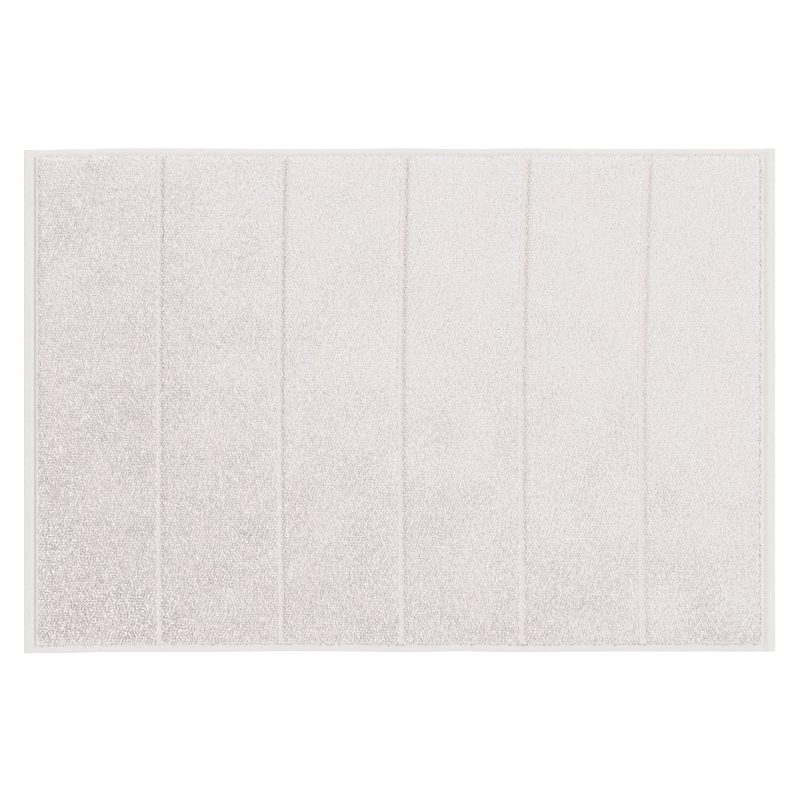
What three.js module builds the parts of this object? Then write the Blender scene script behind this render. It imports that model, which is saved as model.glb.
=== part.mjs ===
// A woven cotton terry bath mat: one ground cloth with loops on both faces, laid flat.
// Units are millimetres and +Z is up. The mat's underside is at z = 0, its length runs
// along X, and the origin is under its middle. The loops stand in equal bands across the
// mat, divided by narrow woven lines that have none. The cloth's four edges are turned
// under twice, and two threads lockstitch each hem: the needle thread on top and the
// bobbin thread below.
import * as THREE from "three";

// Overall size
const LENGTH = 900; // along X, over the end hems
const WIDTH = 600; // along Y, over the side hems

// Cloth, in layers from the floor up
const GROUND = 1.2; // the woven ground between the two piles
const BACK_PILE = 3.4; // loop height below the ground
const FACE_PILE = 3.4; // loop height above the ground
const CLEARANCE = 0.3; // air between solids that touch on the real mat

// Bands of loops and the woven lines between them
const BANDS = 6;
const LINE_WIDTH = 4; // bare cloth between two bands
const PILE_EDGE_RADIUS = 1.2; // how far the loops round over at the rim of a band

// Hems
const HEM_CLOTH = 0.9; // the flat-woven cloth that a hem is folded from
const END_HEM = 13.4; // folded width of a hem across the mat's end
const SIDE_HEM = 9.6; // folded width of a hem along the mat's side
const TUCK_BACK = 2.4; // how far the raw edge stops short of the outer fold
const SIDE_MARGIN = 1.8; // bare cloth between a side hem and the loops
const RIB_WIDTH = 2; // raised cord woven into the bare header inside each end hem
const RIB_HEIGHT = 0.8;
const RIB_FROM_HEM = 2; // from the end hem's inner fold to the rib
const RIB_TO_PILE = 0.6; // from the rib to the loops

// Lockstitch
const THREAD_WIDTH = 0.7;
const THREAD_HEIGHT = 0.5;
const STITCH_FROM_FOLD = 2.2; // from the hem's inner fold to the seam
const SEAM_END = 3; // the seam stops this far from the end of its hem

const ARC_SEGMENTS = 8;

// Heights of the layers
const groundBottom = BACK_PILE + CLEARANCE;
const groundTop = groundBottom + GROUND;
const facePileBottom = groundTop + CLEARANCE;

// Plan of the cloth inside the hems
const groundLength = LENGTH - 2 * (END_HEM + CLEARANCE);
const groundWidth = WIDTH - 2 * (SIDE_HEM + CLEARANCE);
const header = RIB_FROM_HEM + RIB_WIDTH + RIB_TO_PILE; // bare cloth between hem and loops
const pileLength = LENGTH - 2 * (END_HEM + header);
const pileWidth = WIDTH - 2 * (SIDE_HEM + SIDE_MARGIN);
const bandPitch = pileLength / BANDS;

// A hem has three layers of its cloth: the top one, the one turned under, and the tucked
// raw edge between them.
const layerPitch = HEM_CLOTH + CLEARANCE;
const hemHeight = 2 * layerPitch + HEM_CLOTH;
const hemBottom = groundTop - hemHeight;

function cloth(color, roughness) {
  return new THREE.MeshStandardMaterial({ color, roughness, metalness: 0 });
}

const pileCloth = cloth(0xe2dbd9, 0.95);
const groundCloth = cloth(0xddd6d3, 0.9);
const hemCloth = cloth(0xe8e3e0, 0.85);
const seamThread = cloth(0xefebe8, 0.6);

const mat = new THREE.Group();

function add(name, geometry, material, parent = mat) {
  const mesh = new THREE.Mesh(geometry, material);
  mesh.name = name;
  parent.add(mesh);
  return mesh;
}

// Extrudes a section drawn in X and Z along Y, centred on y = 0.
function alongY(section, length) {
  const geometry = new THREE.ExtrudeGeometry(section, {
    depth: length,
    bevelEnabled: false,
    curveSegments: ARC_SEGMENTS,
  });
  return geometry.rotateX(Math.PI / 2).translate(0, length / 2, 0);
}

// The ground cloth's section along the mat, with a rib in the header at each end.
function groundSection() {
  const end = groundLength / 2;
  const ribOuter = LENGTH / 2 - END_HEM - RIB_FROM_HEM;
  const ribInner = ribOuter - RIB_WIDTH;
  const ribTop = groundTop + RIB_HEIGHT;
  const ribBottom = groundBottom - RIB_HEIGHT;
  const chamfer = RIB_HEIGHT / 2;
  const rightHalf = [
    [ribInner, groundTop],
    [ribInner + chamfer, ribTop],
    [ribOuter - chamfer, ribTop],
    [ribOuter, groundTop],
    [end, groundTop],
    [end, groundBottom],
    [ribOuter, groundBottom],
    [ribOuter - chamfer, ribBottom],
    [ribInner + chamfer, ribBottom],
    [ribInner, groundBottom],
  ];
  const leftHalf = rightHalf.map(([x, z]) => [-x, z]).reverse();
  const points = [...rightHalf, ...leftHalf];
  return new THREE.Shape(points.map(([x, z]) => new THREE.Vector2(x, z)));
}

// A band of loops: a slab with its rim rounded over on both faces.
function pileSlab(length, width, height) {
  const round = PILE_EDGE_RADIUS;
  const halfLength = length / 2 - round;
  const halfWidth = width / 2 - round;
  const plan = new THREE.Shape([
    new THREE.Vector2(-halfLength, -halfWidth),
    new THREE.Vector2(halfLength, -halfWidth),
    new THREE.Vector2(halfLength, halfWidth),
    new THREE.Vector2(-halfLength, halfWidth),
  ]);
  const slab = new THREE.ExtrudeGeometry(plan, {
    depth: height - 2 * round,
    bevelThickness: round,
    bevelSize: round,
    bevelSegments: 3,
  });
  return slab.translate(0, 0, round);
}

// A hem's section: the outer fold is at x = 0 and the inner fold at x = width.
function hemSection(width) {
  const half = HEM_CLOTH / 2;
  const bottom = hemBottom + half; // middle height of each layer
  const middle = bottom + layerPitch;
  const top = middle + layerPitch;
  const outerFold = layerPitch; // radii of the two folds, at the cloth's middle
  const innerFold = layerPitch / 2;
  const turnX = outerFold + half;
  const returnX = width - innerFold - half;
  const returnZ = (bottom + middle) / 2;
  const rawEdge = TUCK_BACK;
  const section = new THREE.Shape();
  section.moveTo(width, top + half);
  section.lineTo(turnX, top + half);
  section.absarc(turnX, middle, outerFold + half, Math.PI / 2, Math.PI * 1.5, false);
  section.lineTo(returnX, bottom - half);
  section.absarc(returnX, returnZ, innerFold + half, -Math.PI / 2, Math.PI / 2, false);
  section.lineTo(rawEdge, middle + half);
  section.lineTo(rawEdge, middle - half);
  section.lineTo(returnX, middle - half);
  section.absarc(returnX, returnZ, innerFold - half, Math.PI / 2, -Math.PI / 2, true);
  section.lineTo(turnX, bottom + half);
  section.absarc(turnX, middle, outerFold - half, Math.PI * 1.5, Math.PI / 2, true);
  section.lineTo(width, top - half);
  return section;
}

// A seam thread's section: flat where it is drawn against the cloth, round outside.
function threadSection(x, clothZ, outward) {
  const near = clothZ + outward * CLEARANCE;
  const far = near + outward * THREAD_HEIGHT;
  const half = THREAD_WIDTH / 2;
  const points = [
    [x - half, near],
    [x + half, near],
    [x + half, (near + far) / 2],
    [x + half / 2, far],
    [x - half / 2, far],
    [x - half, (near + far) / 2],
  ];
  if (outward < 0) points.reverse();
  return new THREE.Shape(points.map(([px, pz]) => new THREE.Vector2(px, pz)));
}

// One edge of the mat: its hem and the two threads of its seam, built with the outer fold
// at x = 0 and then turned and moved to its place.
function hem(edge, hemLength, hemWidth, turn, x, y) {
  const group = new THREE.Group();
  group.rotation.z = turn;
  group.position.set(x, y, 0);
  mat.add(group);
  const seamX = hemWidth - STITCH_FROM_FOLD;
  const seamLength = hemLength - 2 * SEAM_END;
  add(`hem_${edge}`, alongY(hemSection(hemWidth), hemLength), hemCloth, group);
  const needle = threadSection(seamX, groundTop, 1);
  const bobbin = threadSection(seamX, hemBottom, -1);
  add(`needle_thread_${edge}`, alongY(needle, seamLength), seamThread, group);
  add(`bobbin_thread_${edge}`, alongY(bobbin, seamLength), seamThread, group);
}

add("ground_cloth", alongY(groundSection(), groundWidth), groundCloth);

for (let band = 0; band < BANDS; band++) {
  // The first and last bands have a woven line on one side only.
  const start = band * bandPitch + (band > 0 ? LINE_WIDTH / 2 : 0);
  const stop = (band + 1) * bandPitch - (band < BANDS - 1 ? LINE_WIDTH / 2 : 0);
  const middle = (start + stop - pileLength) / 2;
  const length = stop - start;
  const back = pileSlab(length, pileWidth, BACK_PILE);
  const face = pileSlab(length, pileWidth, FACE_PILE);
  add(`back_pile_${band + 1}`, back, pileCloth).position.set(middle, 0, 0);
  add(`face_pile_${band + 1}`, face, pileCloth).position.set(middle, 0, facePileBottom);
}

// The side hems are sewn first and the end hems are folded over their ends, so an end hem
// runs the mat's whole width and a side hem runs between the two end hems.
const sideHemLength = groundLength;
hem("left", WIDTH, END_HEM, 0, -LENGTH / 2, 0);
hem("right", WIDTH, END_HEM, Math.PI, LENGTH / 2, 0);
hem("front", sideHemLength, SIDE_HEM, Math.PI / 2, 0, -WIDTH / 2);
hem("rear", sideHemLength, SIDE_HEM, -Math.PI / 2, 0, WIDTH / 2);

export default mat;
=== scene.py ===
"""A woven cotton terry bath mat, laid flat. Lengths are in metres, and MM is a millimetre."""

import math

import bmesh
import bpy
import numpy as np
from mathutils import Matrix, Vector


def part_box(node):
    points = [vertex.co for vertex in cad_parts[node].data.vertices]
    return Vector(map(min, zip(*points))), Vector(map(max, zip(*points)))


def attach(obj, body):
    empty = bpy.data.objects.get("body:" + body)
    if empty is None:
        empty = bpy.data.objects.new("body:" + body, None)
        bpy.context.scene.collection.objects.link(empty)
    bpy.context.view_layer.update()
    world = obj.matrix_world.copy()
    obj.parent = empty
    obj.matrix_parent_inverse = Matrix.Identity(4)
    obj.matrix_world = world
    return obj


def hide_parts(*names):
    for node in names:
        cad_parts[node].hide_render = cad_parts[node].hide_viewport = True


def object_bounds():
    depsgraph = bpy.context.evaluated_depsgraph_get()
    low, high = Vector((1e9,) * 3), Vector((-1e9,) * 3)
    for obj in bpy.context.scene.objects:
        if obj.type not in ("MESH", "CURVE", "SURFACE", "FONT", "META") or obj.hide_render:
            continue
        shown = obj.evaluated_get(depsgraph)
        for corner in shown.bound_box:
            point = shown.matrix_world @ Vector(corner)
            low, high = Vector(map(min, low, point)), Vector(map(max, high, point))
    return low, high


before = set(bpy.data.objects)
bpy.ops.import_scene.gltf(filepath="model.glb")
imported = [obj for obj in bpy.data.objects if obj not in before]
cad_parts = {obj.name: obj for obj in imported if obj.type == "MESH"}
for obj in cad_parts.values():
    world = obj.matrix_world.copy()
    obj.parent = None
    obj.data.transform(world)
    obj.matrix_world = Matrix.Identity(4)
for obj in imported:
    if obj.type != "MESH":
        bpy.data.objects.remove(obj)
cad_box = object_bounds()

MM = 0.001
SEED = 7

# The cloth's places, from the frame
BANDS = sum(name.startswith("face_pile_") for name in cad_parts)
MAT_LOW, MAT_HIGH = (np.array(corner) for corner in cad_box)
GROUND_LOW, GROUND_HIGH = (np.array(corner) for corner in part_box("ground_cloth"))
HEM_LOW, HEM_HIGH = (np.array(corner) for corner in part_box("hem_left"))
SIDE_LOW, SIDE_HIGH = (np.array(corner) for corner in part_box("hem_front"))
PILE_LOW = np.array(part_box("face_pile_1")[0])
PILE_HIGH = np.array(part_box(f"face_pile_{BANDS}")[1])
BAND_PITCH = (PILE_HIGH[0] - PILE_LOW[0]) / BANDS

# Cloth
HEM_CLOTH = 0.9 * MM
GROUND_CLOTH = 1.2 * MM
GROUND_TOP = HEM_HIGH[2]
GROUND_BOTTOM = GROUND_TOP - GROUND_CLOTH

# Terry loops. They are thicker and further apart than real ones, so that the mesh doesn't
# grow too heavy.
FACE_PITCH, BACK_PITCH = 3.58 * MM, 5.2 * MM
FACE_TALL, BACK_TALL = 3.0 * MM, 2.8 * MM
YARN_RADIUS = 1.2 * MM
LOOP_FOOT = 1.5 * MM  # half the distance between a loop's two feet
LOOP_SIDES = 4
LOOP_STEPS = 3
LOOP_TWISTS = 6  # turns of the yarn's plies along one loop
ROW_PITCH = 0.87  # from row to row, as a share of the pitch along a row
CROWN_BULGE = 1.45  # how much a loop's crown is widened
LOOP_STRAY = 0.22  # how far a loop strays from its place, as a share of the pitch

# How far the relaxed cloth strays from flat and true
WEFT_BOW = 8.4 * MM  # at the rear side
FRONT_BOW = 2 * MM  # at the front side
MIDDLE_SHIFT = 1.2 * MM
ASKEW = 1.9 * MM  # at the left end
RELIEF, FINE_RELIEF = 0.5 * MM, 0.2 * MM
HEM_SAG = 0.8 * MM
HEM_PUCKER = 0.28 * MM

# Hems and seams
RAW_EDGE = 2.4 * MM  # from the outer fold to the tucked raw edge
SEAM_FROM_EDGE = 2.2 * MM  # from the hem's inner edge to the seam
STITCH_PITCH = 3 * MM
STITCH_LENGTH = 2.75 * MM
STITCH_RADIUS = 0.36 * MM
STITCH_SINK = 0.5 * MM  # how deep a stitch dives at its ends
SEAM_END = 3 * MM  # the seam stops this far from the end of its hem

# A wave texture of this scale has one band to the metre
ONE_BAND = 0.314


# ---------------------------------------------------------------- small tools


def linear(hex_colour):
    """An sRGB hex colour as the linear numbers that a shader takes."""
    channels = [int(hex_colour[i : i + 2], 16) / 255 for i in (1, 3, 5)]
    return [c / 12.92 if c <= 0.04045 else ((c + 0.055) / 1.055) ** 2.4 for c in channels] + [1.0]


def smooth(x):
    """0 below 0, 1 above 1, and an even slope between."""
    x = np.clip(x, 0, 1)
    return x * x * (3 - 2 * x)


def clouds(x, y, size_x, size_y, seed):
    """Smooth random values from -1 to 1 at the points x, y, on a lattice of that size."""
    cells = 256
    lattice = np.random.default_rng(seed).uniform(-1, 1, (cells, cells))
    u, v = x / size_x + 100, y / size_y + 100
    i, j = np.floor(u).astype(int), np.floor(v).astype(int)
    s, t = smooth(u - i), smooth(v - j)
    i, j = i % cells, j % cells
    k, m = (i + 1) % cells, (j + 1) % cells
    near = lattice[i, j] * (1 - s) + lattice[k, j] * s
    far = lattice[i, m] * (1 - s) + lattice[k, m] * s
    return near * (1 - t) + far * t


def deselect():
    bpy.ops.object.select_all(action="DESELECT")


def points_of(piece):
    """The piece's vertices as rows of x, y, z."""
    found = np.empty(len(piece.data.vertices) * 3)
    piece.data.vertices.foreach_get("co", found)
    return found.reshape(-1, 3)


def move_points(piece, points):
    piece.data.vertices.foreach_set("co", np.asarray(points, np.float32).ravel())
    piece.data.update()


def select_where(piece, test, kind="VERT"):
    """In edit mode, selects the vertices, edges or faces that the test picks."""
    bpy.ops.mesh.select_mode(type=kind)
    bpy.ops.mesh.select_all(action="DESELECT")
    shape = bmesh.from_edit_mesh(piece.data)
    parts = {"VERT": shape.verts, "EDGE": shape.edges, "FACE": shape.faces}[kind]
    for part in parts:
        part.select_set(test(part))
    shape.select_flush_mode()
    bmesh.update_edit_mesh(piece.data)


def shade_smooth(piece):
    piece.data.polygons.foreach_set("use_smooth", [True] * len(piece.data.polygons))


def shade_by_angle(piece):
    """Smooth, except across a raw edge."""
    deselect()
    piece.select_set(True)
    bpy.context.view_layer.objects.active = piece
    bpy.ops.object.shade_smooth_by_angle(angle=math.radians(45))


def copies(name, model, places, painted_shades_and_tones=None, yarn=None):
    """One mesh of many copies of a model. places is copies x vertices x 3, tones is a value
    for each copy, and yarn is each model corner's place along and round its yarn."""
    count, corners = len(places), len(model.data.loops)
    per_model = len(model.data.vertices)
    vertex = np.empty(corners, np.int32)
    model.data.loops.foreach_get("vertex_index", vertex)
    starts = np.empty(len(model.data.polygons), np.int32)
    totals = np.empty(len(model.data.polygons), np.int32)
    model.data.polygons.foreach_get("loop_start", starts)
    model.data.polygons.foreach_get("loop_total", totals)
    step = np.arange(count)[:, None]
    mesh = bpy.data.meshes.new(name)
    mesh.vertices.add(count * per_model)
    mesh.vertices.foreach_set("co", places.astype(np.float32).ravel())
    mesh.loops.add(count * corners)
    mesh.loops.foreach_set("vertex_index", (vertex + step * per_model).ravel())
    mesh.polygons.add(count * len(starts))
    mesh.polygons.foreach_set("loop_start", (starts + step * corners).ravel())
    mesh.polygons.foreach_set("loop_total", np.tile(totals, count))
    mesh.update(calc_edges=True)
    piece = bpy.data.objects.new(name, mesh)
    bpy.context.scene.collection.objects.link(piece)
    if painted_shades_and_tones is not None:
        painted_shade_and_tone = mesh.attributes.new("painted_shade_and_tone", "FLOAT", "POINT")
        painted_shade_and_tone.data.foreach_set("value", np.repeat(painted_shades_and_tones, per_model).astype(np.float32))
    if yarn is not None:
        yarn_map = mesh.uv_layers.new(name="yarn")
        yarn_map.uv.foreach_set("vector", np.tile(yarn, (count, 1)).astype(np.float32).ravel())
    return piece


# ---------------------------------------------------------------- how the cloth lies


def lie(points):
    """Moves points of a mat drawn flat and true to where the relaxed cloth has them."""
    x, y, z = points.T.copy()
    half_length, half_width = MAT_HIGH[0], MAT_HIGH[1]
    # The weft bows: it runs towards the right end at the rear side, most of all near the
    # last woven line, and a little at the front side.
    last_line = PILE_HIGH[0] - BAND_PITCH
    toward = np.interp(x, [PILE_LOW[0], last_line, PILE_HIGH[0]], [0, 1, 0])
    rear = np.clip(y / half_width, 0, 1) ** 1.6
    front = np.clip(-y / half_width, 0, 1) ** 1.6
    middle = smooth(1 - np.abs(x) / half_length)
    new_x = x + WEFT_BOW * toward * rear + FRONT_BOW * np.minimum(toward * 3, 1) * front
    new_x += MIDDLE_SHIFT * middle
    # The left end lies a little askew, and the sewn edges aren't quite straight.
    askew = smooth((-x - half_length * 0.72) / (half_length * 0.28))
    new_y = y * 1.005 - ASKEW * askew
    edge = np.abs(y) / half_width
    new_y += 0.5 * MM * clouds(x, y * 0, 70 * MM, 1, SEED + 1) * edge * np.sign(y)
    new_x += 0.4 * MM * clouds(x * 0, y, 60 * MM, 1, SEED + 2) * (np.abs(x) / half_length)
    # The cloth isn't quite flat, and the hems, which have no loops under them, sag.
    relief = RELIEF * clouds(x, y, 120 * MM, 95 * MM, SEED + 3)
    relief += FINE_RELIEF * clouds(x, y, 34 * MM, 40 * MM, SEED + 4)
    end_gap = (half_length - np.abs(x)) / (11 * MM)
    side_gap = (half_width - np.abs(y)) / (9 * MM)
    sag = HEM_SAG * (1 - smooth(np.minimum(end_gap, side_gap)))
    sag *= 1 - 0.6 * smooth(x / half_length * 8 - 7)  # less at the right end
    pucker = HEM_PUCKER * clouds(x, y, 9 * MM, 9 * MM, SEED + 5)
    near_hem = 1 - smooth((np.minimum(end_gap, side_gap) - 0.4) / 1.6)
    height = np.clip(z / GROUND_BOTTOM, 0, 1)
    new_z = z + height * (relief + pucker * near_hem) - sag * np.clip(z / (1.6 * MM), 0, 1)
    return np.stack([new_x, new_y, np.maximum(new_z, 0.05 * MM)], 1)


# ---------------------------------------------------------------- terry loops


def ruffled(x, y):
    """How disturbed the pile is, from 0 to 1: least at the right rear, most at the left front.
    It also sets how strongly light and shade are painted on the loops and the sheet under them.
    """
    u, v = x / MAT_HIGH[0], y / MAT_HIGH[1]
    worn = 0.3 - 0.2 * u - 0.25 * v + 0.25 * np.clip(-u, 0, 1) + 0.12 * np.clip(-v, 0, 1)
    return np.clip(worn + 0.15 * clouds(x, y, 45 * MM, 40 * MM, SEED + 20), 0, 1) ** 1.6


def rim_height(x, y, low, high):
    """The pile's height near the rim of its band, where the loops have room to lie down, as
    a share of its full height."""
    to_end = np.minimum(x - low[0], high[0] - x)
    to_side = np.minimum(y - low[1], high[1] - y)
    left, right, front, rear = 0.92, 0.75, 0.55, 0.75
    pile_left, pile_right = 0.5, 0.9  # at the two ends of the whole pile
    end = np.where(x - low[0] < high[0] - x, left, right)
    end = np.where(x < PILE_LOW[0] + 6 * MM, pile_left, end)
    end = np.where(x > PILE_HIGH[0] - 6 * MM, pile_right, end)
    side = np.where(y < 0, front, rear)
    end_share = end + (1 - end) * smooth(to_end / (3 * MM))
    return end_share * (side + (1 - side) * smooth(to_side / (5 * MM)))


def model_loop():
    """One loop of pile yarn: half a ring that stands on its two feet. Its crown is raised to
    the height of each loop when it is copied."""
    deselect()
    bpy.ops.mesh.primitive_circle_add(
        vertices=LOOP_SIDES, radius=YARN_RADIUS, location=(LOOP_FOOT, 0, 0)
    )
    loop = bpy.context.object
    bpy.ops.object.transform_apply(location=True, rotation=True, scale=True)
    bpy.ops.object.mode_set(mode="EDIT")
    bpy.ops.mesh.select_all(action="SELECT")
    bpy.ops.mesh.spin(steps=LOOP_STEPS, angle=math.pi, center=(0, 0, 0), axis=(0, 1, 0))
    bpy.ops.mesh.select_all(action="SELECT")
    bpy.ops.mesh.normals_make_consistent(inside=False)
    bpy.ops.object.mode_set(mode="OBJECT")
    return loop


def loop_yarn(loop):
    """Each corner's place along the loop's yarn, counted in twists, and round it, from 0 to 1."""
    vertex = np.empty(len(loop.data.loops), np.int32)
    loop.data.loops.foreach_get("vertex_index", vertex)
    along, side = vertex // LOOP_SIDES, vertex % LOOP_SIDES
    sides = side.reshape(-1, 4)
    wraps = (sides.max(1) - sides.min(1)) == LOOP_SIDES - 1
    around = np.where(wraps[:, None] & (sides == 0), LOOP_SIDES, sides).ravel()
    return np.stack([along / LOOP_STEPS * LOOP_TWISTS, around / LOOP_SIDES], 1)


def standing(loop, rng, x, y, tall, lean_x, lean_y):
    """The places of a loop's vertices for every copy. Each copy is turned, twisted and
    stretched to its height, and leans over as far as its two leans say."""
    model = points_of(loop)
    crown = model[:, 2] > LOOP_FOOT * 0.1
    up = np.where(crown, model[:, 2] - LOOP_FOOT, 0)
    share = np.where(crown, 1.0, 0.0) * np.clip(0.8 + up / LOOP_FOOT * 0.25, 0, 1)
    count = len(x)
    turn = rng.normal(0.75, 0.6, count)[:, None] + rng.normal(0, 0.4, count)[:, None] * share
    spread = rng.uniform(0.85, 1.15, count)[:, None]
    cos, sin = np.cos(turn), np.sin(turn)
    # The crown is widened, so that the loops close up at the top.
    local_x = model[:, 0] * np.where(crown, CROWN_BULGE, 1.0) * spread
    px = local_x * cos - model[:, 1] * sin
    py = local_x * sin + model[:, 1] * cos
    lean = np.hypot(lean_x, lean_y)
    rise = np.sqrt(np.maximum(tall**2 - lean**2, (0.3 * tall) ** 2))[:, None]
    pz = up + rise * np.where(crown, 1.0, 0.0)
    px = x[:, None] + px + lean_x[:, None] * share
    py = y[:, None] + py + lean_y[:, None] * share
    return np.stack([px, py, pz], 2)


def leans(x, y, low, high, rough, rng):
    """How far each loop of a band leans along X and along Y."""
    # Patches where the loops were brushed one way, and streaks along the weft.
    brushed_x = 0.3 * MM * clouds(x, y, 26 * MM, 30 * MM, SEED + 11)
    brushed_x += 0.25 * MM * clouds(x, y, 9 * MM, 160 * MM, SEED + 12)
    brushed_y = 0.3 * MM * clouds(x, y, 22 * MM, 28 * MM, SEED + 13)
    lean_x = rng.normal(0, 1, len(x)) * (0.15 + 0.45 * rough) * MM + brushed_x
    lean_y = rng.normal(0, 1, len(x)) * (0.15 + 0.45 * rough) * MM + brushed_y
    # Loops at a band's rim have no neighbour to hold them up and lean out over the bare cloth.
    to_left, to_right = x - low[0], high[0] - x
    to_front, to_rear = y - low[1], high[1] - y
    rim = 3 * MM
    out_x = np.exp(-to_right / rim) - np.exp(-to_left / rim)
    out_y = np.exp(-to_rear / rim) - np.exp(-to_front / rim)
    lean_x = lean_x * (1 - 0.6 * np.abs(out_x)) + 0.6 * MM * out_x
    lean_y = lean_y * (1 - 0.6 * np.abs(out_y)) + 2.1 * MM * out_y
    return lean_x, lean_y


def loop_tones_and_painted_shade(x, rough, rng):
    """No two loops have quite the same shade, least of all where the pile is disturbed. Where it
    is disturbed they are also painted lighter, painted light on the crowns over the painted shade
    of the sheet under them, and towards the left end they are painted a little darker, painted
    shade where the light falls off.
    """
    leftward = np.clip(-x / MAT_HIGH[0], 0, 1)
    # Painted light and shade: the loops are lighter where the pile is ruffled, against the darker
    # sheet under them, and a little darker towards the left end.
    painted_shades_and_tones = 0.57 + 0.19 * rough - 0.04 * leftward
    painted_shades_and_tones = painted_shades_and_tones + (0.04 + 0.15 * rough) * rng.normal(0, 1, len(x))
    return np.clip(painted_shades_and_tones, 0, 1)


def own_cells(loops, yarn, i, j, across, along):
    """Gives each loop a cell of its own in the map that its colours are stored on."""
    stored = loops.data.uv_layers.new(name="OFBake")
    cell = np.stack([i / across, j / along], 1)[:, None, :]
    inside = 0.06 + 0.88 * yarn[None] / (LOOP_TWISTS, 1)
    corner = cell + inside / (across, along)
    stored.uv.foreach_set("vector", corner.astype(np.float32).ravel())


def terry(name, node, pitch, tall, above, seed):
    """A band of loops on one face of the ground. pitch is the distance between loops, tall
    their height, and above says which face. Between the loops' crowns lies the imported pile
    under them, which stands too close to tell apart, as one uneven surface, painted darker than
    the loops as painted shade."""
    rng = np.random.default_rng(seed)
    low, high = (np.array(corner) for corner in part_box(node))
    size = high - low
    # The loops stand in rows, each row half a step along from the last.
    across, along = int(size[0] / pitch), int(size[1] / pitch / ROW_PITCH)
    i, j = np.meshgrid(np.arange(across), np.arange(along), indexing="ij")
    i, j = i.ravel(), j.ravel()
    step_x, step_y = size[0] / (across + 0.1), size[1] / (along - 0.6)
    x = low[0] + (i + 0.3 + 0.5 * (j % 2) + rng.uniform(-LOOP_STRAY, LOOP_STRAY, len(i))) * step_x
    y = low[1] + (j + 0.2 + rng.uniform(-LOOP_STRAY, LOOP_STRAY, len(j))) * step_y
    rough = ruffled(x, y)
    lean_x, lean_y = leans(x, y, low, high, rough, rng)
    uneven = 1 + rng.normal(0, 1, len(x)) * (0.02 + 0.08 * rough)
    heights = tall * uneven.clip(0.75, 1.15) * rim_height(x, y, low, high)
    loop = model_loop()
    yarn = loop_yarn(loop)
    places = standing(loop, rng, x, y, heights, lean_x, lean_y)
    painted_shades_and_tones = loop_tones_and_painted_shade(x, rough, rng)
    base = GROUND_TOP - 0.3 * MM if above else GROUND_BOTTOM + 0.3 * MM
    if above:
        places[:, :, 2] = base + places[:, :, 2]
    else:
        places[:, :, 2] = base - places[:, :, 2]
    shape = places.reshape(-1, 3)
    places = lie(shape).reshape(places.shape)
    loops = copies(name, loop, places, painted_shades_and_tones, yarn)
    bpy.data.objects.remove(loop)
    if not above:
        loops.data.flip_normals()
    own_cells(loops, yarn, i, j, across, along)
    shade_smooth(loops)
    roots = model_roots(name + "_roots", low, high, (across, along), base, tall, above, seed)
    deselect()
    for piece in (roots, loops):
        piece.select_set(True)
    bpy.context.view_layer.objects.active = loops
    bpy.ops.object.join()
    return loops


def model_roots(name, low, high, count, base, tall, above, seed):
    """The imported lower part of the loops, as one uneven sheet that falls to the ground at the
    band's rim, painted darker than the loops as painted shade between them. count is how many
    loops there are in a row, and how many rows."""
    size = high - low
    deselect()
    bpy.ops.mesh.primitive_grid_add(
        x_subdivisions=count[0], y_subdivisions=count[1], size=1, location=(0, 0, 0)
    )
    roots = bpy.context.object
    roots.name = name
    flat = points_of(roots)
    rng = np.random.default_rng(seed + 500)
    x = (low[0] + high[0]) / 2 + flat[:, 0] * size[0]
    y = (low[1] + high[1]) / 2 + flat[:, 1] * size[1]
    to_end = np.minimum(x - low[0], high[0] - x)
    rim = np.minimum(to_end, np.minimum(y - low[1], high[1] - y))
    inside = smooth(rim / (1.2 * MM))
    stray = 0.8  # in millimetres
    x = x + rng.uniform(-stray, stray, len(x)) * MM * inside
    y = y + rng.uniform(-stray, stray, len(y)) * MM * inside
    # At the mat's sides the pile bulges out over the hems' inner edges.
    to_side = np.minimum(y - low[1], high[1] - y)
    bulge_from = 1.6 * MM
    bulge = 1 - smooth(to_side / bulge_from)
    inside = np.maximum(inside, 0.35 * bulge * smooth(to_end / bulge_from))
    y = y + (1.9 if above else 1.0) * MM * bulge * np.sign(y)
    swell = inside * rim_height(x, y, low, high)
    rough = ruffled(x, y)
    level = 1.11 - 0.6 * rough + 0.05 * rng.uniform(-1, 1, len(x))
    rise = tall * swell * level
    z = base + rise if above else base - rise
    move_points(roots, lie(np.stack([x, y, z], 1)))
    if not above:
        roots.data.flip_normals()
    # Painted shade: the sheet between the loops is painted darker than the loops, and darker
    # still where the pile is ruffled.
    painted_shade_and_tone = roots.data.attributes.new("painted_shade_and_tone", "FLOAT", "POINT")
    painted_shade_and_tone.data.foreach_set("value", (0.43 - 0.06 * rough).astype(np.float32))
    shade_smooth(roots)
    for layer in list(roots.data.uv_layers):
        roots.data.uv_layers.remove(layer)
    roots.data.uv_layers.new(name="yarn")
    roots.data.uv_layers.new(name="OFBake")
    return roots


# ---------------------------------------------------------------- ground cloth


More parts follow.
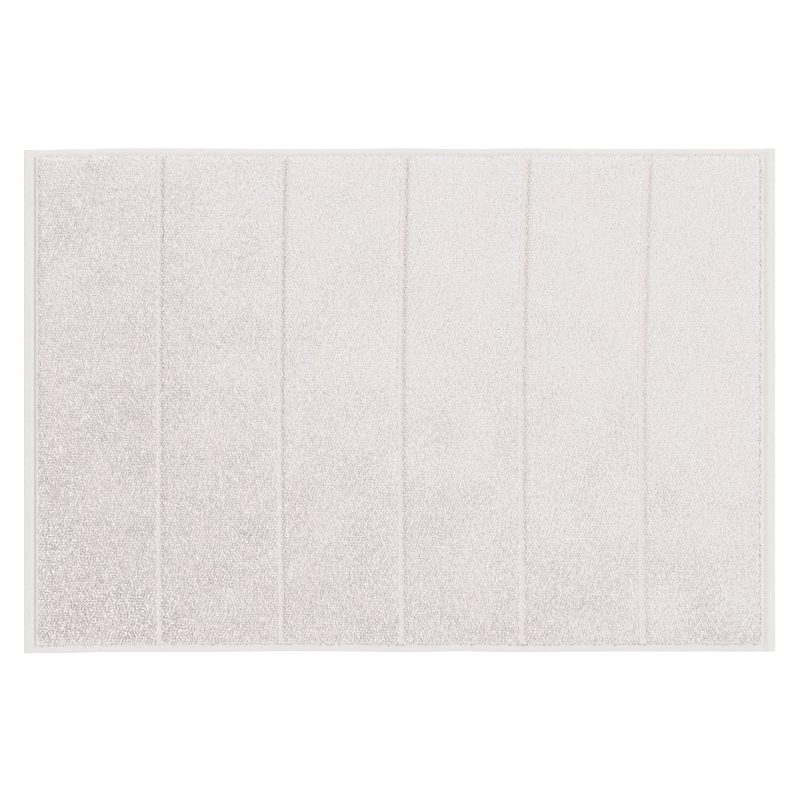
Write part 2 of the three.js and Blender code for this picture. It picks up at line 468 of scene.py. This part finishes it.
def ground_profile(x):
    """How far the ground's surface is from its mean height, along the mat: a rib in the bare
    header at each end, with a valley between it and the hem, and in each woven line a welt of
    fine cords beside a groove."""
    from_hem = GROUND_HIGH[0] - np.abs(x)
    rib = 0.9 * MM * np.exp(-(((from_hem - 2.4 * MM) / (1 * MM)) ** 2))
    rib += 1.2 * MM * smooth((from_hem + 0.3 * MM) / (1.2 * MM))
    valley = 0.1 * MM * np.exp(-(((from_hem - 0.1 * MM) / (0.4 * MM)) ** 2))
    # The right end was pressed flatter.
    shape = np.where(x < 0, rib - valley, 0.6 * MM * smooth(from_hem / (5 * MM)))
    shape = np.where(from_hem < 8 * MM, shape, 0)
    half_band = BAND_PITCH / 2
    to_line = (x - PILE_LOW[0] + half_band) % BAND_PITCH - half_band
    inner = (x > PILE_LOW[0] + half_band) & (x < PILE_HIGH[0] - half_band)
    cords = 0.1 * MM * np.cos(2 * math.pi * to_line / (1.2 * MM))
    cords = np.where(np.abs(to_line) < 2.4 * MM, cords, 0)
    # Towards the right end the welts are higher and wider, and their grooves shallower.
    along = (x - PILE_LOW[0]) / (PILE_HIGH[0] - PILE_LOW[0])
    groove = (0.5 - 0.45 * along) * smooth((to_line - 1.6 * MM) / (1.3 * MM))
    welt = smooth((to_line + 6 * MM) / (1.5 * MM)) * (1 - groove)
    welt *= 1 - smooth((to_line - (3.6 + 0.8 * along) * MM) / (1.3 * MM))
    line = cords + (1.8 + 1.1 * along) * MM * welt
    return shape + np.where(inner, line, 0)


def model_ground():
    """The woven ground: one sheet, cut across finely where it shows and coarsely elsewhere."""
    size = GROUND_HIGH - GROUND_LOW
    fine = 0.3 * MM
    over_header, over_line, per_band = range(1, 22), range(-20, 18), 6
    columns = [GROUND_LOW[0] + step * fine for step in over_header]
    columns += [GROUND_HIGH[0] - step * fine for step in over_header]
    for line in range(1, BANDS):
        columns += [PILE_LOW[0] + line * BAND_PITCH + step * fine for step in over_line]
    coarse = [step for step in range(1, per_band * BANDS) if step % per_band]
    columns += [PILE_LOW[0] + step * BAND_PITCH / per_band for step in coarse]
    deselect()
    bpy.ops.mesh.primitive_plane_add(size=1, location=(0, 0, 0))
    ground = bpy.context.object
    ground.name = "ground_cloth_weave"
    ground.scale = (size[0], size[1], 1)
    bpy.ops.object.transform_apply(location=True, rotation=True, scale=True)
    bpy.ops.object.mode_set(mode="EDIT")
    for column in sorted(columns):
        bpy.ops.mesh.select_all(action="SELECT")
        bpy.ops.mesh.bisect(plane_co=(column, 0, 0), plane_no=(1, 0, 0))
    select_where(ground, lambda e: abs(e.verts[0].co.y - e.verts[1].co.y) > 0.1, "EDGE")
    bpy.ops.mesh.subdivide(number_cuts=int(size[1] / (5 * MM)) - 1)
    bpy.ops.object.mode_set(mode="OBJECT")
    points = points_of(ground)
    points[:, 2] = GROUND_TOP + ground_profile(points[:, 0])
    move_points(ground, lie(points))
    wall = ground.modifiers.new("wall", "SOLIDIFY")
    wall.thickness = GROUND_CLOTH
    wall.offset = -1
    bpy.context.view_layer.objects.active = ground
    bpy.ops.object.modifier_apply(modifier="wall")
    shade_by_angle(ground)
    return ground


# ---------------------------------------------------------------- hems and seams


def model_hem(name, node, width, length):
    """A hem, drawn with its outer fold at x = 0: cloth turned under twice, so that it lies
    in three layers with the raw edge tucked between the other two."""
    low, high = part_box(node)
    pitch = (high[2] - low[2] - HEM_CLOTH) / 2
    top = high[2] - HEM_CLOTH / 2
    middle, bottom = top - pitch, top - 2 * pitch
    turn_x = pitch + HEM_CLOTH / 2
    return_x = width - pitch / 2 - HEM_CLOTH / 2
    fine, coarse = 0.45 * MM, 2.2 * MM
    deselect()
    bpy.ops.mesh.primitive_plane_add(
        size=HEM_CLOTH, location=(width - HEM_CLOTH / 2, 0, top), rotation=(math.pi / 2, 0, 0)
    )
    hem = bpy.context.object
    hem.name = name
    bpy.ops.object.transform_apply(location=True, rotation=True, scale=True)
    bpy.ops.object.mode_set(mode="EDIT")
    edge_x = width - HEM_CLOTH
    select_where(hem, lambda v: v.co.x < edge_x + HEM_CLOTH / 2)
    steps = round((edge_x - turn_x) / fine)
    bpy.ops.mesh.extrude_repeat(steps=steps, offset=((turn_x - edge_x) / steps, 0, 0))
    bpy.ops.mesh.spin(steps=8, angle=math.pi, center=(turn_x, 0, middle), axis=(0, 1, 0))
    steps = round((return_x - turn_x) / coarse)
    bpy.ops.mesh.extrude_repeat(steps=steps, offset=((return_x - turn_x) / steps, 0, 0))
    bpy.ops.mesh.spin(
        steps=4, angle=math.pi, center=(return_x, 0, (bottom + middle) / 2), axis=(0, 1, 0)
    )
    steps = round((return_x - RAW_EDGE) / coarse)
    bpy.ops.mesh.extrude_repeat(steps=steps, offset=((RAW_EDGE - return_x) / steps, 0, 0))
    bpy.ops.mesh.select_all(action="SELECT")
    bpy.ops.mesh.remove_doubles(threshold=0.01 * MM)
    bpy.ops.mesh.extrude_region_move(TRANSFORM_OT_translate={"value": (0, length, 0)})
    bpy.ops.mesh.select_all(action="SELECT")
    bpy.ops.mesh.normals_make_consistent(inside=False)
    select_where(hem, lambda e: abs(e.verts[0].co.y - e.verts[1].co.y) > 0.1, "EDGE")
    bpy.ops.mesh.subdivide(number_cuts=int(length / (4 * MM)) - 1)
    bpy.ops.object.mode_set(mode="OBJECT")
    points = points_of(hem)
    points[:, 1] -= length / 2
    # The seam draws the three layers together, and the top layer dips to meet the ground.
    seam_x = width - SEAM_FROM_EDGE
    draw = np.exp(-(((points[:, 0] - seam_x) / (0.9 * MM)) ** 2))
    depth = (points[:, 2] - low[2]) / (high[2] - low[2])
    unfolded = width - turn_x + math.pi * 1.5 * pitch + 2 * return_x - turn_x - RAW_EDGE
    points[:, 2] -= 0.45 * MM * draw * depth
    points[:, 2] += 0.2 * MM * draw * (1 - depth)
    inner = smooth((points[:, 0] - (width - 2 * MM)) / (2 * MM)) * (depth > 0.7)
    if length < 1.5 * MAT_HIGH[0]:
        # An end hem dips to the ground's valley, but not where it crosses a side hem.
        inner *= 1 - smooth((np.abs(points[:, 1]) - GROUND_HIGH[1] + 9 * MM) / (9 * MM))
        points[:, 2] -= 0.5 * MM * inner
    else:
        # A side hem's inner edge laps over the ground, and its ends run in under the end hems.
        points[:, 0] += 0.5 * MM * inner
        points[:, 2] += 0.15 * MM * inner
        at_end = smooth((np.abs(points[:, 1]) - length / 2 + 4 * MM) / (4 * MM))
        points[:, 1] += 1.2 * MM * at_end * np.sign(points[:, 1])
        points[:, 2] -= 0.15 * MM * at_end
    move_points(hem, points)
    return hem, unfolded


def model_stitch():
    """One stitch: a short thread that rises from its hole, lies along the seam and dives
    into the next. It runs along Y and starts and ends below z = 0."""
    bend = (STITCH_LENGTH**2 / 4 + STITCH_SINK**2) / (2 * STITCH_SINK)
    half_angle = math.asin(STITCH_LENGTH / 2 / bend)
    deselect()
    bpy.ops.mesh.primitive_circle_add(
        vertices=5,
        radius=STITCH_RADIUS,
        location=(0, -STITCH_LENGTH / 2, -STITCH_SINK),
        rotation=(math.pi / 2 + half_angle, 0, 0),
    )
    stitch = bpy.context.object
    bpy.ops.object.transform_apply(location=True, rotation=True, scale=True)
    bpy.ops.object.mode_set(mode="EDIT")
    bpy.ops.mesh.select_all(action="SELECT")
    bpy.ops.mesh.spin(steps=4, angle=2 * half_angle, center=(0, 0, -bend), axis=(1, 0, 0))
    bpy.ops.mesh.select_all(action="SELECT")
    bpy.ops.mesh.normals_make_consistent(inside=False)
    bpy.ops.object.mode_set(mode="OBJECT")
    return stitch


def seam(name, width, length, above, seed):
    """A row of stitches along a hem, drawn like the hem with its outer fold at x = 0."""
    rng = np.random.default_rng(seed)
    count = int((length - 2 * SEAM_END) / STITCH_PITCH)
    stitch = model_stitch()
    model = points_of(stitch)
    slant = 0.12 + rng.normal(0, 0.03, count)[:, None]
    middle = (np.arange(count) - (count - 1) / 2) * STITCH_PITCH
    middle = middle + rng.normal(0, 0.08 * MM, count)
    px = width - SEAM_FROM_EDGE + model[:, 0] + model[:, 1] * slant
    py = middle[:, None] + model[:, 1]
    pz = model[:, 2] + np.zeros((count, 1))
    z = HEM_HIGH[2] - 0.16 * MM + pz if above else HEM_LOW[2] + 0.1 * MM - pz
    piece = copies(name, stitch, np.stack([px, py, z], 2))
    bpy.data.objects.remove(stitch)
    if not above:
        piece.data.flip_normals()
    shade_smooth(piece)
    return piece


def placed(piece, turn, x, y):
    """Turns a hem or seam to its edge of the mat, and lets it lie with the rest."""
    points = points_of(piece)
    cos, sin = round(math.cos(turn)), round(math.sin(turn))
    new_x = points[:, 0] * cos - points[:, 1] * sin + x
    new_y = points[:, 0] * sin + points[:, 1] * cos + y
    move_points(piece, lie(np.stack([new_x, new_y, points[:, 2]], 1)))
    return piece


# ---------------------------------------------------------------- materials


def add_node(material, kind, settings=None, links=None):
    """Adds a node. settings gives its properties, and its inputs by name or number; links
    gives for each input the node's output that feeds it."""
    tree = material.node_tree
    made = tree.nodes.new(kind)
    for key, value in (settings or {}).items():
        if isinstance(key, str) and hasattr(made, key):
            setattr(made, key, value)
        else:
            made.inputs[key].default_value = value
    for key, source in (links or {}).items():
        tree.links.new(source, made.inputs[key])
    return made


def cloth_material(name):
    material = bpy.data.materials.new(name)
    material.use_nodes = True
    return material, material.node_tree.nodes["Principled BSDF"]


def terry_yarn():
    """Ring-spun cotton pile yarn, soft-twisted and dyed: a matt, slightly furry thread with
    a pale bloom along its edges, each loop a shade apart from the next. Its colour is painted
    pinker towards the left front, the warm cast of the shade between the loops, and each loop's
    value from the mesh carries painted light and shade as well."""
    material, surface = cloth_material("ring_spun_cotton_terry_yarn")
    place = add_node(material, "ShaderNodeTexCoord")
    painted_shade_and_tone = add_node(material, "ShaderNodeAttribute", {"attribute_name": "painted_shade_and_tone"})
    # Painted shade: the colour is mixed towards the pinker pair along this slope, warmer towards
    # the left front, where the shade between the loops takes on a warm cast; random patches add
    # to it.
    slope = add_node(
        material,
        "ShaderNodeVectorMath",
        {"operation": "DOT_PRODUCT", 1: (-0.45, -0.65, 0)},
        {0: place.outputs["Object"]},
    )
    patches = add_node(
        material,
        "ShaderNodeTexNoise",
        {"Scale": 1 / (45 * MM), "Detail": 3.0, "Roughness": 0.5},
        {"Vector": place.outputs["Object"]},
    )
    warm_shade_and_patches = add_node(
        material,
        "ShaderNodeMath",
        {"operation": "ADD"},
        {0: slope.outputs["Value"], 1: patches.outputs["Fac"]},
    )
    # A neutral pair and a pinker pair; the pinker one is mixed in by the painted warm shade and
    # the patches.
    shades = [
        add_node(
            material,
            "ShaderNodeMix",
            {"data_type": "RGBA", 6: linear(dark), 7: linear(light)},
            {0: painted_shade_and_tone.outputs["Fac"]},
        )
        for dark, light in (("#CCC8C7", "#F4F3F3"), ("#D0C4C3", "#F5EEED"))
    ]
    colour = add_node(
        material,
        "ShaderNodeMix",
        {"data_type": "RGBA"},
        {0: warm_shade_and_patches.outputs[0], 6: shades[0].outputs[2], 7: shades[1].outputs[2]},
    )
    material.node_tree.links.new(colour.outputs[2], surface.inputs["Base Color"])
    yarn = add_node(material, "ShaderNodeUVMap", {"uv_map": "yarn"})
    ply = add_node(
        material,
        "ShaderNodeTexWave",
        {
            "wave_type": "BANDS",
            "bands_direction": "DIAGONAL",
            "Scale": 0.2 * math.pi,
            "Distortion": 0.5,
        },
        {"Vector": yarn.outputs[0]},
    )
    fluff = add_node(
        material,
        "ShaderNodeTexNoise",
        {"Scale": 1 / (0.9 * MM), "Detail": 3.0},
        {"Vector": place.outputs["Object"]},
    )
    mixed = add_node(
        material,
        "ShaderNodeMath",
        {"operation": "ADD"},
        {0: ply.outputs["Fac"], 1: fluff.outputs["Fac"]},
    )
    bump = add_node(
        material,
        "ShaderNodeBump",
        {"Strength": 0.5, "Distance": 0.35 * MM},
        {"Height": mixed.outputs[0]},
    )
    material.node_tree.links.new(bump.outputs[0], surface.inputs["Normal"])
    surface.inputs["Roughness"].default_value = 0.95
    surface.inputs["Specular IOR Level"].default_value = 0.2
    surface.inputs["Sheen Weight"].default_value = 0.25
    surface.inputs["Sheen Roughness"].default_value = 0.5
    return material


def woven(name, dark, light, thread, depth):
    """Plain-woven cotton: threads over and under each other, matt, with painted shade in the
    small corners between them. thread is the distance between threads, a little more than the
    real 0.4 mm so that the weave shows, and depth is how far they stand out."""
    material, surface = cloth_material(name)
    place = add_node(material, "ShaderNodeTexCoord")
    scale = 1 / thread / 2
    waves = [
        add_node(
            material,
            "ShaderNodeTexWave",
            {
                "wave_type": "BANDS",
                "bands_direction": way,
                "Scale": scale * ONE_BAND,
                "Distortion": 0.6,
                "Detail": 1.0,
                "Detail Scale": 2.0,
            },
            {"Vector": place.outputs["Object"]},
        )
        for way in ("X", "Y")
    ]
    crossing = add_node(
        material,
        "ShaderNodeMath",
        {"operation": "MULTIPLY"},
        {0: waves[0].outputs["Fac"], 1: waves[1].outputs["Fac"]},
    )
    slubs = add_node(
        material,
        "ShaderNodeTexNoise",
        {"Scale": 1 / (7 * MM), "Detail": 4.0},
        {"Vector": place.outputs["Object"]},
    )
    # Painted shade: the colour is darker where the threads dip, in the corners between them; the
    # slubs add random lightness.
    shade = add_node(
        material,
        "ShaderNodeMath",
        {"operation": "MULTIPLY_ADD", 1: 0.4},
        {0: crossing.outputs[0], 2: slubs.outputs["Fac"]},
    )
    colour = add_node(
        material,
        "ShaderNodeMix",
        {"data_type": "RGBA", 6: linear(dark), 7: linear(light)},
        {0: shade.outputs[0]},
    )
    material.node_tree.links.new(colour.outputs[2], surface.inputs["Base Color"])
    bump = add_node(
        material,
        "ShaderNodeBump",
        {"Strength": 0.5, "Distance": depth},
        {"Height": crossing.outputs[0]},
    )
    material.node_tree.links.new(bump.outputs[0], surface.inputs["Normal"])
    surface.inputs["Roughness"].default_value = 0.9
    surface.inputs["Specular IOR Level"].default_value = 0.25
    surface.inputs["Sheen Weight"].default_value = 0.15
    surface.inputs["Sheen Roughness"].default_value = 0.5
    return material


def sewing_thread():
    """Spun sewing thread: three plies laid diagonally, smoother and a little brighter than
    the cloth that it sews, painted darker in the grooves between the plies as painted shade."""
    material, surface = cloth_material("spun_sewing_thread")
    place = add_node(material, "ShaderNodeTexCoord")
    plies = add_node(
        material,
        "ShaderNodeTexWave",
        {"wave_type": "BANDS", "bands_direction": "DIAGONAL", "Scale": 1 / (1.6 * MM) * ONE_BAND},
        {"Vector": place.outputs["Object"]},
    )
    # Painted shade: the colour is darker in the grooves between the plies, where the bump dips.
    colour = add_node(
        material,
        "ShaderNodeMix",
        {"data_type": "RGBA", 6: linear("#E6E1DF"), 7: linear("#F0ECEA")},
        {0: plies.outputs["Fac"]},
    )
    material.node_tree.links.new(colour.outputs[2], surface.inputs["Base Color"])
    bump = add_node(
        material,
        "ShaderNodeBump",
        {"Strength": 0.6, "Distance": 0.1 * MM},
        {"Height": plies.outputs["Fac"]},
    )
    material.node_tree.links.new(bump.outputs[0], surface.inputs["Normal"])
    surface.inputs["Roughness"].default_value = 0.7
    surface.inputs["Sheen Weight"].default_value = 0.1
    return material


def finish_piece(piece, material, slot, *nodes):
    piece.data.materials.clear()
    piece.data.materials.append(material)
    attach(piece, "root")
    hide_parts(*nodes)
    return piece


# ---------------------------------------------------------------- the studio


def studio():
    """A white floor and soft light: an even dome, and a lamp from the upper right."""
    deselect()
    bpy.ops.mesh.primitive_plane_add(size=40, location=(0, 0, 0))
    floor = bpy.context.object
    floor.name = "floor"
    paper, surface = cloth_material("white_studio_paper")
    surface.inputs["Base Color"].default_value = linear("#FCFCFC")
    surface.inputs["Roughness"].default_value = 0.9
    surface.inputs["Specular IOR Level"].default_value = 0.1
    surface.inputs["Emission Color"].default_value = (1, 1, 1, 1)
    surface.inputs["Emission Strength"].default_value = 0.3
    floor.data.materials.append(paper)
    world = bpy.data.worlds.new("dome")
    bpy.context.scene.world = world
    world.use_nodes = True
    dome = world.node_tree.nodes["Background"]
    dome.inputs["Color"].default_value = (1, 1, 1, 1)
    dome.inputs["Strength"].default_value = 0.84
    key = bpy.data.lights.new("far_softbox", "SUN")
    key.energy = 1.35
    key.angle = math.radians(18)
    lamp = bpy.data.objects.new("far_softbox", key)
    bpy.context.scene.collection.objects.link(lamp)
    lamp.rotation_euler = Vector((-0.6, -0.32, -0.7)).to_track_quat("-Z", "Y").to_euler()


def camera():
    """Straight down from above, with a long lens."""
    data = bpy.data.cameras.new("camera")
    data.lens = 85
    data.sensor_width = 36
    eye = bpy.data.objects.new("camera", data)
    bpy.context.scene.collection.objects.link(eye)
    seen = 955 * MM  # the width that the view takes in
    distance = seen / 2 / (data.sensor_width / 2 / data.lens)
    eye.location = (0.2 * MM, -0.1 * MM, distance + MAT_HIGH[2])
    eye.rotation_euler = (0, 0, 0)
    bpy.context.scene.camera = eye


# ---------------------------------------------------------------- the mat

terry_cotton = terry_yarn()
ground_cotton = woven("plain_woven_cotton_ground", "#D5CECC", "#DFD9D7", 0.7 * MM, 0.08 * MM)
hem_cotton = woven("flat_woven_cotton_hem", "#D6D3D1", "#DEDBDA", 0.55 * MM, 0.07 * MM)
seam_cotton = sewing_thread()

ground = model_ground()
finish_piece(ground, ground_cotton, "ground_weave", "ground_cloth")

for band in range(1, BANDS + 1):
    for node, pitch, tall, above, seed in (
        (f"face_pile_{band}", FACE_PITCH, FACE_TALL, True, SEED + band),
        (f"back_pile_{band}", BACK_PITCH, BACK_TALL, False, SEED + 50 + band),
    ):
        pile = terry(node + "_loops", node, pitch, tall, above, seed)
        finish_piece(pile, terry_cotton, "terry_pile", node)

# Each hem's width and length, its turn, and where the middle of its outer fold lies
END_WIDTH, SIDE_WIDTH = HEM_HIGH[0] - HEM_LOW[0], SIDE_HIGH[1] - SIDE_LOW[1]
EDGES = {
    "left": (END_WIDTH, HEM_HIGH[1] - HEM_LOW[1], 0, MAT_LOW[0], 0),
    "right": (END_WIDTH, HEM_HIGH[1] - HEM_LOW[1], math.pi, MAT_HIGH[0], 0),
    "front": (SIDE_WIDTH, SIDE_HIGH[0] - SIDE_LOW[0], math.pi / 2, 0, MAT_LOW[1]),
    "rear": (SIDE_WIDTH, SIDE_HIGH[0] - SIDE_LOW[0], -math.pi / 2, 0, MAT_HIGH[1]),
}
for number, (edge, (width, length, turn, x, y)) in enumerate(EDGES.items()):
    hem, unfolded = model_hem(f"hem_{edge}_fold", f"hem_{edge}", width, length)
    placed(hem, turn, x, y)
    shade_by_angle(hem)
    finish_piece(hem, hem_cotton, "hem_cloth", f"hem_{edge}")
    for thread, above in (("needle", True), ("bobbin", False)):
        node = f"{thread}_thread_{edge}"
        row_seed = SEED + 100 + 2 * number + above
        row = seam(node + "_stitches", width, length, above, row_seed)
        finish_piece(placed(row, turn, x, y), seam_cotton, "seam_thread", node)

studio()
camera()
bpy.context.scene.view_settings.view_transform = "Standard"
